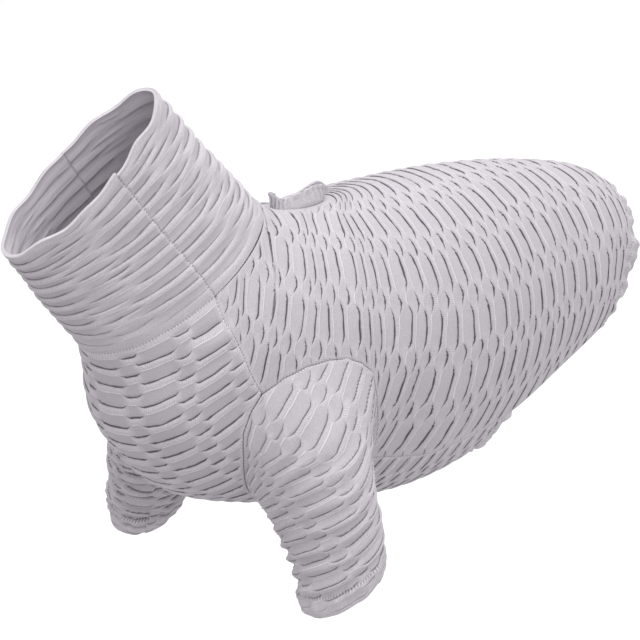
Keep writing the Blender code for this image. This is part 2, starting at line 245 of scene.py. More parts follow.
def clothMesh(name, outer, inner, uv, marks, stride=(1, 1), wrap=False, centre=None, openRows=None):
    # A closed sheet from two grids of points. The inner one may be coarser by stride. centre is
    # the column left of a slit that runs along the middle; openRows says in which rows it is open.
    rows, cols = outer.shape[:2]
    si, sj = stride
    iOut = np.arange(rows * cols).reshape(rows, cols)
    pickI, pickJ = np.arange(0, rows, si), np.arange(0, cols, sj)
    if centre is not None:
        pickJ = np.concatenate([np.arange(0, centre + 1, sj), np.arange(centre + 1, cols, sj)])
    pick = np.ix_(pickI, pickJ)
    iIn = rows * cols + np.arange(len(pickI) * len(pickJ)).reshape(len(pickI), len(pickJ))
    coordOut, coordIn = iOut.copy(), iIn.copy()
    if wrap:
        iOut[:, -1], iIn[:, -1] = iOut[:, 0], iIn[:, 0]
    verts = np.concatenate([outer.reshape(-1, 3), inner[pick].reshape(-1, 3)])
    coords = np.concatenate([uv.reshape(-1, 2), uv[pick].reshape(-1, 2)])
    marks = {key: np.broadcast_to(m, (rows, cols)) for key, m in marks.items()}
    values = {key: np.concatenate([m.ravel(), m[pick].ravel()]) for key, m in marks.items()}
    values["lining"] = np.concatenate([np.zeros(rows * cols), np.ones(iIn.size)])
    faces, places, rounded = [], [], []

    def addFaces(corners, spots, turned, soft):
        faces.append(corners[:, ::-1] if turned else corners)
        places.append(spots[:, ::-1] if turned else spots)
        rounded.append(np.full(len(corners), soft))

    def quads(index, spots, turned, skip):
        pair = []
        for a in (index, spots):
            q = np.stack([a[:-1, :-1], a[1:, :-1], a[1:, 1:], a[:-1, 1:]], -1)
            pair.append((q if skip is None else np.delete(q, skip, axis=1)).reshape(-1, 4))
        addFaces(*pair, turned, True)

    def rim(outLine, inLine, outSpots, inSpots, step, turned, only=slice(None)):
        k = np.arange(len(inLine) - 1)[only]
        corners = np.stack([outLine[k * step + q] for q in range(step + 1)] + [inLine[k + 1], inLine[k]], -1)
        spots = np.stack([outSpots[k * step + q] for q in range(step + 1)] + [inSpots[k + 1], inSpots[k]], -1)
        addFaces(corners, spots, turned, False)    # flat, so that the cloth beside it keeps its own shading

    m = (rows // 2, cols // 3)
    facing = np.cross(outer[m[0] + 1, m[1]] - outer[m], outer[m[0], m[1] + 1] - outer[m])
    flip = np.dot(facing, outer[m] - inner[m]) < 0
    quads(iOut, coordOut, flip, centre)
    quads(iIn, coordIn, not flip, None if centre is None else int(np.searchsorted(pickJ, centre)))
    for a, b in [(0, cols - 1)] if centre is None else [(0, centre), (centre + 1, cols - 1)]:
        o, i = slice(a, b + 1), slice(np.searchsorted(pickJ, a), np.searchsorted(pickJ, b) + 1)
        rim(iOut[0, o], iIn[0, i], coordOut[0, o], coordIn[0, i], sj, flip)
        rim(iOut[-1, o], iIn[-1, i], coordOut[-1, o], coordIn[-1, i], sj, not flip)
    if not wrap:
        rim(iOut[:, 0], iIn[:, 0], coordOut[:, 0], coordIn[:, 0], si, not flip)
        rim(iOut[:, -1], iIn[:, -1], coordOut[:, -1], coordIn[:, -1], si, flip)
    if centre is not None:
        k, only = int(np.searchsorted(pickJ, centre)), np.nonzero(openRows)[0]
        rim(iOut[:, centre], iIn[:, k], coordOut[:, centre], coordIn[:, k], si, flip, only)
        right = centre + 1
        rim(iOut[:, right], iIn[:, k + 1], coordOut[:, right], coordIn[:, k + 1], si, not flip, only)

    mesh = bpy.data.meshes.new(name)
    loops = np.concatenate([f.ravel() for f in faces])
    spots = np.concatenate([p.ravel() for p in places])
    sizes = np.concatenate([np.full(len(f), f.shape[1]) for f in faces])
    mesh.vertices.add(len(verts))
    mesh.vertices.foreach_set("co", verts.ravel())
    mesh.loops.add(len(loops))
    mesh.loops.foreach_set("vertex_index", loops)
    mesh.polygons.add(len(sizes))
    mesh.polygons.foreach_set("loop_start", np.concatenate([[0], np.cumsum(sizes)[:-1]]))
    mesh.polygons.foreach_set("loop_total", sizes)
    mesh.uv_layers.new(name="cloth").data.foreach_set("uv", coords[spots].ravel())
    for key, value in values.items():
        mesh.attributes.new(key, "FLOAT", "POINT").data.foreach_set("value", value.astype(np.float32))
    mesh.polygons.foreach_set("use_smooth", np.concatenate(rounded))
    mesh.update(calc_edges=True)
    mesh.validate()
    piece = bpy.data.objects.new(name, mesh)
    bpy.context.scene.collection.objects.link(piece)
    return piece


def linear(code, shadeTint=1.0):
    # sRGB hex to linear, darkened by a tint per piece: partly the cloth's own tone, partly painted shade,
    # lower on the pieces that lie in shade
    c = np.array([int(code[k:k + 2], 16) for k in (1, 3, 5)]) / 255
    return (*(shadeTint * np.where(c <= 0.04045, c / 12.92, ((c + 0.055) / 1.055) ** 2.4)), 1.0)


def addNode(tree, kind, settings=(), links=()):
    node = tree.nodes.new(kind)
    for key, value in dict(settings).items():
        if isinstance(key, int) or key in node.inputs:
            node.inputs[key].default_value = value
        else:
            setattr(node, key, value)
    for key, source in dict(links).items():
        tree.links.new(source, node.inputs[key])
    return node


knit = dict(
    rope="#D9D4DA",      # yarn on the ropes, pale lilac grey melange
    flat="#B4AEB6",      # single cloth on the flats of the cells, thinner and duller
    lipAndHighlight="#F4F2F4",       # painted highlight on the raised edges, where the loops catch the light
    tuckAndShade="#625964",      # painted shade, laid down in the tucks where shade falls
    lining="#D2CCD4",    # wrong side of the cloth
    thread="#F3F1F4",    # sewing thread
    rung=0.0013,         # ladder of stitches along the ropes; real ones are 0.7 mm, too fine to show
    wale=0.0012,         # columns of loops on the flats, drawn as coarse for the same reason
    stitch=0.0020,       # seam stitches
    line=(0.042, 0.008),    # a drawn line begins and is whole so far from its middle, in ribs
    # how much of each layer of colour shows; groove and hemLine are painted shade in the seam and hem
    # grooves, and the lining's tuck lines are painted highlights
    gaps=0.42, mottle=0.15, speck=0.34, groove=0.12, hemLine=0.35, sewn=0.8, liningTuckHighlight=0.55,
    # bump heights, in heights of the ladder
    waleHeight=0.30, woolHeight=2.4, lipHeight=1.6, tuckHeight=-3.0, threadHeight=2.0,
)


def knitMaterial(name, shadeTint, pitch, band, rope, blur, contrast, lipsAndHighlights, dull):
    # Crinkled rib knit of fine cotton and polyester yarn, unbrushed: matt, paler on the doubled
    # ropes with their ladder of stitches, duller on the flats. The thin tucks and the seam grooves are
    # darkened with painted shade, and the lips are lightened with painted highlights.
    k, c = knit, crinkle
    material = bpy.data.materials.new(name)
    material.use_nodes = True
    tree = material.node_tree
    shader = tree.nodes["Principled BSDF"]
    uv = addNode(tree, "ShaderNodeUVMap", {"uv_map": "cloth"})
    split = addNode(tree, "ShaderNodeSeparateXYZ", {}, {0: uv.outputs[0]})
    place = addNode(tree, "ShaderNodeTexCoord")
    wires = {"u": split.outputs[0], "v": split.outputs[1]}
    for key in ("fade", "vary", "edge", "hem", "along", "lining"):
        wires[key] = addNode(tree, "ShaderNodeAttribute", {"attribute_name": key}).outputs["Fac"]
    for key, scale, detail in (("grain", 1100.0, 3.0), ("blotch", 70.0, 4.0)):
        wires[key] = addNode(tree, "ShaderNodeTexNoise", {"Scale": scale, "Detail": detail},
                             {"Vector": place.outputs["Object"]}).outputs["Fac"]
    # sums, one line each: result, operation, what goes in. RAMP is an S curve from 0 at the
    # second value to 1 at the third. The lines and strips are those of the relief.
    sums = [
        ("rib", "DIVIDE", "u", pitch), ("bands", "DIVIDE", "v", band), ("turned", "PINGPONG", "bands", 0.5),
        ("middle", "MULTIPLY_ADD", "vary", c["vary"], "turned"),
        ("long", "RAMP", "middle", c["longHalf"] + blur, c["longHalf"] - blur),
        ("short", "SUBTRACT", 1.0, "long"),
        ("first", "MULTIPLY", "short", rope - 0.5), ("second", "MULTIPLY_ADD", "long", rope - 0.5, 0.5),
        ("wide", "SUBTRACT", "second", "first"), ("fromFirst", "SUBTRACT", "rib", "first"),
        ("fromSecond", "SUBTRACT", "rib", "second"), ("past", "FRACT", "fromFirst"),
        ("over", "SUBTRACT", "past", "wide"),
        ("nearFirst", "PINGPONG", "fromFirst", 0.5), ("nearSecond", "PINGPONG", "fromSecond", 0.5),
        ("inFirst", "RAMP", "over", 0.02, -0.02), ("inSecond", "SUBTRACT", 1.0, "inFirst"),
        ("flatFirst", "MULTIPLY", "inFirst", "short"),
        ("flatSecond", "MULTIPLY_ADD", "inSecond", "long", "flatFirst"),
        ("thinFirst", "RAMP", "nearFirst", *k["line"]), ("thinSecond", "RAMP", "nearSecond", *k["line"]),
        ("longTuck", "RAMP", "middle", *c["longTuck"][::-1]),
        ("shortTuck", "RAMP", "middle", *c["shortTuck"]),
        # tuck lines: cut in by the bump and darkened with painted shade; lip lines: raised by the bump and
        # lightened with painted highlights
        ("tuckFirst", "MULTIPLY", "thinFirst", "longTuck"),
        ("tuckSecond", "MULTIPLY", "thinSecond", "shortTuck"),
        ("lipFirst", "MULTIPLY", "thinFirst", "short"), ("lipSecond", "MULTIPLY", "thinSecond", "long"),
        ("cells", "MULTIPLY", "flatSecond", "fade"), ("flat", "MULTIPLY", "cells", dull),
        ("tucks", "MAXIMUM", "tuckFirst", "tuckSecond"), ("tuckFade", "MULTIPLY", "tucks", "fade"),
        ("tuckAndShade", "MULTIPLY", "tuckFade", contrast),
        ("lipsAndHighlights", "MAXIMUM", "lipFirst", "lipSecond"), ("lipFade", "MULTIPLY", "lipsAndHighlights", "fade"),
        ("lipAndHighlight", "MULTIPLY", "lipFade", lipsAndHighlights),
        # ladder across the ropes, wales on the flats, in real metres of cloth
        ("rungTurn", "MULTIPLY", "v", 2 * math.pi / k["rung"]), ("rungs", "SINE", "rungTurn"),
        ("waleTurn", "MULTIPLY", "u", 2 * math.pi / k["wale"]), ("wales", "SINE", "waleTurn"),
        ("ropes", "SUBTRACT", 1.0, "cells"), ("ladder", "MULTIPLY", "rungs", "ropes"),
        ("fine", "MULTIPLY", "wales", "cells"), ("cloth", "MULTIPLY_ADD", "fine", k["waleHeight"], "ladder"),
        ("woolly", "MULTIPLY_ADD", "grain", k["woolHeight"], "cloth"),
        ("raised", "MULTIPLY_ADD", "lipAndHighlight", k["lipHeight"], "woolly"),
        ("height", "MULTIPLY_ADD", "tuckAndShade", k["tuckHeight"], "raised"),
        ("gap", "RAMP", "ladder", 0.15, 1.0), ("gaps", "MULTIPLY", "gap", k["gaps"]),
        ("mottle", "RAMP", "blotch", 0.42, 0.75), ("speck", "RAMP", "grain", 0.42, 0.62),
        ("mottles", "MULTIPLY", "mottle", k["mottle"]),
        ("mottled", "MULTIPLY_ADD", "speck", k["speck"], "mottles"),
        # seams: a thin groove with stitches across it, and a line of them along the hem; both grooves are
        # darkened with painted shade
        ("groove", "RAMP", "edge", 0.0011, 0.0002), ("grooveShade", "MULTIPLY", "groove", k["groove"]),
        ("hemOff", "ABSOLUTE", "hem"), ("hemLine", "RAMP", "hemOff", 0.0010, 0.0002),
        ("hemGrooveShade", "MULTIPLY", "hemLine", k["hemLine"]),
        ("sewn", "MAXIMUM", "groove", "hemLine"), ("turns", "MULTIPLY", "along", 2 * math.pi / k["stitch"]),
        ("beat", "SINE", "turns"), ("dots", "RAMP", "beat", 0.15, 0.75),
        ("dotted", "MULTIPLY", "dots", "sewn"), ("thread", "MULTIPLY", "dotted", k["sewn"]),
        ("threadHeight", "MULTIPLY_ADD", "thread", k["threadHeight"], "height"),
        ("liningTuckHighlight", "MULTIPLY", "tuckFade", k["liningTuckHighlight"])]
    for result, operation, *inputs in sums:
        numbers = {n: v for n, v in enumerate(inputs) if not isinstance(v, str)}
        sources = {n: wires[v] for n, v in enumerate(inputs) if isinstance(v, str)}
        kind, settings = "ShaderNodeMath", {"operation": operation}
        if operation == "RAMP":
            kind, settings = "ShaderNodeMapRange", {"interpolation_type": "SMOOTHSTEP"}
        wires[result] = addNode(tree, kind, {**settings, **numbers}, sources).outputs[0]
    # colours laid one over the other, each through its mask: the flat and mottled tones are the cloth's own,
    # the lip colour is a painted highlight, and the tuck colour is painted shade in the tucks and in the seam
    # and hem grooves
    base = addNode(tree, "ShaderNodeRGB")
    base.outputs[0].default_value = linear(k["rope"], shadeTint)
    over = base.outputs[0]
    layers = (("flat", "mottled"), ("flat", "flat"), ("flat", "gaps"), ("lipAndHighlight", "lipAndHighlight"), ("tuckAndShade", "tuckAndShade"),
              ("tuckAndShade", "grooveShade"), ("tuckAndShade", "hemGrooveShade"), ("thread", "thread"))
    for colour, mask in layers:
        over = addNode(tree, "ShaderNodeMix", {"data_type": "RGBA", 7: linear(k[colour], shadeTint)},
                       {0: wires[mask], 6: over}).outputs[2]
    # on the wrong side the tuck lines are lightened with a painted highlight
    lining = {"data_type": "RGBA", 6: linear(k["lining"], shadeTint), 7: linear(k["lipAndHighlight"], shadeTint)}
    wrong = addNode(tree, "ShaderNodeMix", lining, {0: wires["liningTuckHighlight"]}).outputs[2]
    both = addNode(tree, "ShaderNodeMix", {"data_type": "RGBA"}, {0: wires["lining"], 6: over, 7: wrong})
    bump = addNode(tree, "ShaderNodeBump", {"Strength": 0.45, "Distance": 0.00028},
                   {"Height": wires["threadHeight"]})
    tree.links.new(both.outputs[2], shader.inputs["Base Color"])
    tree.links.new(bump.outputs[0], shader.inputs["Normal"])
    shader.inputs["Roughness"].default_value = 0.92
    shader.inputs["Specular IOR Level"].default_value = 0.25
    shader.inputs["Sheen Weight"].default_value = 0.12
    shader.inputs["Sheen Roughness"].default_value = 0.5
    return material


def finishPiece(piece, node, settings):
    s = settings
    look = {key: s[key] for key in ("shadeTint", "pitch", "band", "rope", "blur", "contrast", "lipsAndHighlights", "dull")}
    piece.data.materials.append(knitMaterial(node + " crinkled rib knit", **look))
    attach(piece, "root")
    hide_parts(node)
    print(piece.name, len(piece.data.polygons), "faces")


back = dict(
    # where the ribs run: rib number, then the section row it crosses at 0, 20, 40 ... 120 degrees
    ribs=(
        (-3.0, 0.30, 0.50, 0.90, 1.55, 2.45, 3.10, 3.60),
        (-1.0, 1.20, 1.35, 1.75, 2.35, 3.20, 3.85, 4.40),
        (0.2, 2.00, 2.12, 2.48, 2.97, 3.51, 4.36, 5.00),
        (1.6, 2.74, 2.75, 2.92, 3.56, 4.17, 4.87, 5.45),
        (2.6, 3.42, 3.38, 3.61, 3.93, 4.53, 5.17, 5.72),
        (4.0, 4.18, 4.14, 4.22, 4.57, 5.03, 5.58, 6.02),
        (6.0, 4.92, 4.62, 4.72, 5.09, 5.60, 6.06, 6.36),
        (8.0, 5.62, 5.26, 5.39, 5.72, 6.13, 6.48, 6.62),
        (12.0, 6.20, 6.02, 6.29, 6.61, 6.81, 6.91, 6.93),
        (18.0, 7.70, 7.84, 8.06, 8.30, 8.445, 8.465, 8.37),
        (26.0, 9.98, 10.08, 10.17, 10.235, 10.265, 10.27, 10.20),
        (30.0, 11.12, 11.16, 11.22, 11.26, 11.26, 11.20, 11.10),
        (34.0, 12.35, 12.35, 12.4, 12.4, 12.4, 12.4, 12.3)),
    ribRange=(-2.5, 32.86),    # the ribs that are inside the panel somewhere
    napeRib=2.0,               # no slit before this one
    slitWidth=0.011,
    leastTurn=0.25,            # where the halves are apart, degrees from the centre line at least
    anchor=52.0,               # a long cell is centred here on every rib
    hemSway=0.0020,            # how far the drawn-up hem sways in and out
    hemThick=0.0010,           # what its second layer adds
    groove=(0.0002, 0.0009),   # seam groove: depth, width
    perRib=12, columns=108, seed=1.0,
    coarse=6,                  # rows of the outside for each row of the lining
    # lips and contrast set the painted highlights on the lips and the painted shade in the tucks; tint scales
    # this piece's cloth colour, partly its own tone and partly painted shade
    pitch=0.0125, band=0.035, rope=0.24, blur=0.15, contrast=1.0, lipsAndHighlights=0.80, dull=0.42, shadeTint=0.89,
)


def ribRow(rib, degrees):
    # section row where a rib crosses an angle: smooth along the ribs and down them
    numbers = np.array([r[0] for r in back["ribs"]])
    table = np.array([r[1:] for r in back["ribs"]])
    across = throughRows(table, np.interp(rib, numbers, np.arange(len(numbers))))
    place = np.abs(degrees) / 20.0
    i = np.clip(place.astype(int), 0, 5)
    f = np.minimum(place - i, 1.4)
    pick = lambda k: np.take_along_axis(across, np.clip(k, 0, 6), axis=1)
    b, c = pick(i), pick(i + 1)
    a = np.where(i == 0, c, pick(i - 1))
    d = np.where(i == 5, 2 * c - b, pick(i + 2))
    return b + f * ((c - a) / 2 + f * ((a - 2.5 * b + 2 * c - d / 2) + f * (1.5 * (b - c) + (d - a) / 2)))


def hemRow(degrees):
    return np.interp(np.abs(degrees) / body["hemTurn"], np.linspace(0, 1, 6), body["hemRows"])


def ribLength(rib):
    # metres along each rib from the back's centre line, at every 2 degrees
    turn = np.arange(0, 134, 2.0)
    rows = ribRow(rib, np.repeat(turn[None], len(rib), 0))
    points = bodyPoint(np.clip(rows, 0.5, 12), turn[None])
    steps = np.linalg.norm(np.diff(points, axis=1), axis=2)
    return np.concatenate([np.zeros((len(rib), 1)), np.cumsum(steps, axis=1)], 1)


def lengthAt(lengths, degrees):
    place = np.clip(np.abs(degrees) / 2.0, 0, lengths.shape[1] - 1.001)
    i = place.astype(int)
    low, high = np.take_along_axis(lengths, i, 1), np.take_along_axis(lengths, i + 1, 1)
    return low + (high - low) * (place - i)


def metresPer(rows, degrees, base):
    # metres of cloth for one section row and for one degree
    return (np.linalg.norm(bodyPoint(rows + 0.02, degrees) - base, axis=2) / 0.02,
            np.linalg.norm(bodyPoint(rows, degrees + 0.5) - base, axis=2) / 0.5)


def squareOn(distance, rows, column, perRow, perDegree):
    # distance to a slanted side seam, measured square to it
    slope = (np.interp(rows + 0.05, sideEdge[:, 0], sideEdge[:, column])
             - np.interp(rows - 0.05, sideEdge[:, 0], sideEdge[:, column])) / 0.1
    return distance / np.sqrt(1 + (slope * perDegree / np.maximum(perRow, 1e-5)) ** 2)


def seamGroove(edge, c):
    depth, wide = c["groove"]
    return depth * bell(edge, wide)


hem = dict(
    thick=0.0004, wave=0.0022,      # the second layer, and how unevenly it lies
    groove=(0.0012, 0.0013),        # at the line of stitches: depth, width
    pucker=0.0012, puckerStep=0.0017, puckerWide=0.007,     # height, metres for a radian, width
    curl=0.0022,                    # how far the very edge turns in
)


def hemRelief(toHem, along, seed):
    # turned hem: a second layer that curls in at its edge, a stitched groove, and puckers that
    # the thread draws up on both sides of it
    band = smooth(toHem, body["hemBand"] + 0.001, body["hemBand"] - 0.001)
    pucker = np.sin(along / hem["puckerStep"] + 2.6 * waver(along * 70, 0, seed))
    wave = waver(along * 130, 0, seed + 1)
    beside = bell(toHem - 0.8 * body["hemBand"], hem["puckerWide"])
    return band * (hem["thick"] + hem["wave"] * wave * smooth(toHem, 0.012, 0.003)) \
        - seamGroove(toHem - body["hemBand"], hem) + hem["pucker"] * pucker * beside \
        - hem["curl"] * smooth(toHem, 0.004, 0.0)


def backPanel():
    b, coarse = back, back["coarse"]
    rib = ribSteps(*b["ribRange"], b["perRib"])
    whole = len(rib) - 1 + (-(len(rib) - 1)) % coarse
    rib = np.interp(np.linspace(0, len(rib) - 1, whole + 1), np.arange(len(rib)), rib)
    # each rib is followed on its way down until it leaves the panel
    fine = np.linspace(0, 128, 1281)
    rows = ribRow(rib, np.repeat(fine[None], len(rib), 0))
    inside = (rows >= body["seamRow"]) & (fine[None] <= np.interp(rows, sideEdge[:, 0], sideEdge[:, 1])) \
        & (rows <= hemRow(fine)[None])
    start = fine[np.argmax(inside, axis=1)]
    stop = fine[len(fine) - 1 - np.argmax(inside[:, ::-1], axis=1)]
    start = np.where(start < 1.0, 0.0, start)
    joinedFrom = int(np.nonzero(start == 0)[0][0])
    joinedFrom += -joinedFrom % coarse
    start[:joinedFrom] = np.maximum(start[:joinedFrom], b["leastTurn"])
    # the slit: a lens-ended gap on the centre line
    ends = np.array(body["slitRows"])
    topRows = ribRow(rib, np.zeros((len(rib), 1)))[:, 0]
    across = (topRows - ends.mean()) / (ends[1] - ends[0]) * 2
    inSlit = (np.abs(across) < 1.0) & (rib > b["napeRib"])
    wide = throughRows(sections, topRows)[:, 4]
    lens = np.clip(1 - np.abs(across) ** 5, 0, 1) ** 0.5
    slitTurn = np.degrees(np.arcsin(b["slitWidth"] / 2 / wide)) * lens
    first, last = np.nonzero(inSlit)[0][[0, -1]]
    first, last = first - first % coarse, last + (-last) % coarse
    start[first + 1:last] = np.maximum(slitTurn[first + 1:last], b["leastTurn"])
    half = start[:, None] + (stop - start)[:, None] * np.linspace(0, 1, b["columns"] + 1)[None]
    degrees = np.concatenate([-half[:, ::-1], half], 1)
    rows = ribRow(rib, degrees)
    lengths = ribLength(rib)
    fromTop = lengthAt(lengths, degrees)
    s = fromTop - lengthAt(lengths, np.full((len(rib), 1), b["anchor"])) + 0.003 * np.sin(rib[:, None] * 0.31)
    base = bodyPoint(rows, degrees)
    normals = gridNormals(base, bodyMiddle(rows))
    t, place, vary = crinklePlaces(rib[:, None] + 0 * s, s, b["band"], b["seed"] + 3.0 * (degrees > 0))
    relief = crinkleRelief(t, place, vary, b["rope"], b["blur"])
    # distances to the sewn edges, in metres of cloth
    perRow, perDegree = metresPer(rows, degrees, base)
    toHem = (hemRow(degrees) - rows) * perRow
    toSeam = (rows - body["seamRow"]) * perRow
    toSide = (np.interp(rows, sideEdge[:, 0], sideEdge[:, 1]) - np.abs(degrees)) * perDegree
    toSide = squareOn(toSide, rows, 1, perRow, perDegree)
    nearSlit = np.maximum(np.abs(across)[:, None] - 0.9, 0) * 0.02 \
        + np.maximum(fromTop - b["slitWidth"] / 2, 0)
    # the relief is whole at the second distance from an edge and gone at the first
    fade = smooth(toSeam, 0.0003, 0.004) * smooth(toSide, 0.0003, 0.003) * smooth(nearSlit, 0.0, 0.008)
    fade = fade * smooth(toHem, body["hemBand"] - 0.001, body["hemBand"] + 0.003)
    edge = np.minimum(toSeam, toSide)
    height = relief * fade + hemRelief(toHem, s, 2.0) - seamGroove(edge, b)
    sway = b["hemSway"] * waver(s * 70, 0.0, 5.0) * smooth(toHem, 0.020, 0.0) + softFolds(rows, degrees)
    outer = base + normals * (height + sway)[..., None]
    inner = base - normals * (body["cloth"] + b["hemThick"] * smooth(toHem, 0.0, 0.012) - sway)[..., None]
    joined, mid = start == 0, b["columns"]
    for grid in (outer, inner):                       # both halves meet exactly where there is no gap
        shared = (grid[joined, mid] + grid[joined, mid + 1]) / 2 * [1, 0, 1]
        grid[joined, mid] = grid[joined, mid + 1] = shared
    uv = np.stack([t * b["pitch"], place * b["band"]], -1)
    marks = dict(fade=fade, vary=vary, edge=edge, hem=toHem - body["hemBand"],
                 along=np.where(toSide < np.minimum(toSeam, toHem), rib[:, None] * b["pitch"], s))
    openRows = (start[::coarse][:-1] > 0) | (start[::coarse][1:] > 0)
    piece = clothMesh("back_panel_cloth", outer, inner, uv, marks, stride=(coarse, 4), centre=mid,
                      openRows=openRows)
    weldCentre(piece)
    finishPiece(piece, "back_panel", b)


def weldCentre(piece):
    # joins the two halves where they meet on the centre line, and drops faces with no width
    bm = bmesh.new()
    bm.from_mesh(piece.data)
    middle = [v for v in bm.verts if abs(v.co.y) < 1e-5]
    bmesh.ops.remove_doubles(bm, verts=middle, dist=1e-5)
    bmesh.ops.dissolve_degenerate(bm, dist=1e-7, edges=bm.edges)
    bm.to_mesh(piece.data)
    bm.free()


backPanel()

chest = dict(
    perRib=12, columns=118, seed=5.0,
    countAt=135,        # degrees where the ribs are counted
    shift=0.009,        # moves the cells along the ribs
    deep=1.15, groove=(0.0003, 0.0012),
    # lips and contrast set the painted highlights on the lips and the painted shade in the tucks; tint scales
    # this piece's cloth colour, partly its own tone and partly painted shade
    pitch=0.0118, band=0.034, rope=0.32, blur=0.08, contrast=0.95, lipsAndHighlights=0.70, dull=0.70, shadeTint=0.94,
)


def evenRows(start, end, degrees, count):
    # section rows evenly spaced along the cloth
    fine = np.linspace(start, end, 400)
    path = bodyPoint(fine, np.full(400, float(degrees)))
    length = np.concatenate([[0.0], np.cumsum(np.linalg.norm(np.diff(path, axis=0), axis=1))])
    return np.interp(np.linspace(0, length[-1], count + 1), length, fine), length[-1]


def ringGrid(start, end, c, edges):
    # points round the body, one row for each rib step: ribs, section rows, angles, points, metres
    # along the rib and half width. edges gives the middle and half the width of a piece.
    rows, total = evenRows(start, end, c["countAt"], 2000)
    ribAt = np.linspace(0, total / c["pitch"], 2001)
    rib = ribSteps(0, ribAt[-1], c["perRib"])
    row = np.interp(rib, ribAt, rows)
    middle, span = edges(row)
    columns = c["columns"]
    angles = middle + span[:, None] * np.linspace(-1, 1, columns + 1)[None]
    rows = np.repeat(row[:, None], columns + 1, 1)
    base = bodyPoint(rows, angles)
    s = np.cumsum(np.linalg.norm(np.diff(base, axis=1, prepend=base[:, :1]), axis=2), axis=1)
    return rib[:, None] + 0 * s, rows, angles, base, s - s[:, [columns // 2]], span[:, None]


def chestEdges(row):
    # middle of the panel and half its width, in degrees
    return 180, 180 - np.interp(row, sideEdge[:, 0], sideEdge[:, 2])


def chestPanel():
    c = chest
    rib, rows, degrees, base, s, span = ringGrid(body["seamRow"], body["bellyRow"], c, chestEdges)
    normals = gridNormals(base, bodyMiddle(rows))
    t, place, vary = crinklePlaces(rib, s + c["shift"], c["band"], c["seed"])
    relief = crinkleRelief(t, place, vary, c["rope"], c["blur"])
    perRow, perDegree = metresPer(rows, degrees, base)
    toSeam, toHem = (rows - body["seamRow"]) * perRow, (body["bellyRow"] - rows) * perRow
    toSide = squareOn((span - np.abs(degrees - 180)) * perDegree, rows, 2, perRow, perDegree)
    fade = smooth(toSeam, 0.0003, 0.004) * smooth(toSide, 0.0003, 0.003)
    fade = fade * smooth(toHem, body["hemBand"] - 0.001, body["hemBand"] + 0.003)
    edge = np.minimum(toSeam, toSide)
    height = softFolds(rows, degrees) + c["deep"] * relief * fade + hemRelief(toHem, s, 4.0) \
        - seamGroove(edge, c)
    outer = base + normals * height[..., None]
    inner = outer - normals * body["cloth"]
    uv = np.stack([t * c["pitch"], place * c["band"]], -1)
    marks = dict(fade=fade, vary=vary, edge=edge, hem=toHem - body["hemBand"],
                 along=np.where(toSide < np.minimum(toSeam, toHem), rib * c["pitch"], s))
    piece = clothMesh("chest_panel_cloth", outer, inner, uv, marks)
    finishPiece(piece, "chest_panel", c)


chestPanel()

collar = dict(
    perRib=11, columns=110, countAt=90,
    side=(84.0, 92.0),             # side seams at the rim and at the collar seam, degrees from the nape
    rim=0.0009, rimRoll=0.0004,    # width of the rolled rim, and how much thicker it is
    rimWave=0.0022,                # how far the rim wanders up and down
    pleat=0.0003, dents=0.0007,    # heights of the pleats and of the slow dents
    deep=1.1, groove=(0.0002, 0.0008),
    # lips and contrast set the painted highlights on the lips and the painted shade in the tucks; tint scales
    # this piece's cloth colour, partly its own tone and partly painted shade
    pitch=0.0088, band=0.075, rope=0.36, blur=0.14, contrast=0.65, lipsAndHighlights=0.85, dull=0.70, shadeTint=0.94,
)


def collarHalf(node, first, seed):
    # first: degrees at the middle of the half, 0 at the nape and 180 at the throat
    c = collar

    def edges(row):
        seam = np.interp(row, (0, body["seamRow"]), c["side"])
        return first, seam if first == 0 else 180 - seam

    rib, rows, degrees, base, s, span = ringGrid(0, body["seamRow"], c, edges)
    normals = gridNormals(base, bodyMiddle(rows))
    t, place, vary = crinklePlaces(rib, s, c["band"], seed, 2.2)
    relief = crinkleRelief(t, place, vary, c["rope"], c["blur"], 1.5)
    perRow, perDegree = metresPer(rows, degrees, base)
    toSeam, toRim = (body["seamRow"] - rows) * perRow, rows * perRow
    toSide = (span - np.abs(degrees - first)) * perDegree
    calm = 1 - 0.55 * smooth(rows, 2.0, 2.8)         # the foot of the collar is pulled smooth
    fade = calm * smooth(toSeam, 0.0003, 0.004) * smooth(toSide, 0.0002, 0.002)
    fade = fade * (0.3 + 0.7 * smooth(toRim, 0.002, 0.007))
    edge = np.minimum(toSeam, toSide)
    roll = bell(toRim, c["rim"])
    # pleats a rib or two wide run round the neck, deeper at the throat
    pleat = np.sin(2 * np.pi * rib + 1.2 * waver(s * 25, rib * 0.3, seed + 1))
    lift = softFolds(rows, degrees) + c["pleat"] * pleat * smooth(toRim, 0.001, 0.006) \
        + c["dents"] * waver(s * 45, rib * 0.5, seed)
    height = lift + c["deep"] * relief * fade - seamGroove(edge, c) + c["rimRoll"] * roll
    depth = lift + 0.5 * relief * fade - body["cloth"] - c["rimRoll"] * roll
    wave = c["rimWave"] * waver(s * 75, 0.0, seed + 3) * bell(toRim, 0.008)
    climb = unit(np.gradient(base, axis=0))
    outer = base + normals * height[..., None] + climb * wave[..., None]
    inner = base + normals * depth[..., None] + climb * wave[..., None]
    uv = np.stack([t * c["pitch"], place * c["band"]], -1)
    marks = dict(fade=fade, vary=vary, edge=edge, hem=1.0 + 0 * s,
                 along=np.where(toSide < toSeam, rib * c["pitch"], s))
    piece = clothMesh(node + "_cloth", outer, inner, uv, marks)
    finishPiece(piece, node, c)


collarHalf("collar_back", 0, 8.0)
collarHalf("collar_front", 180, 11.0)

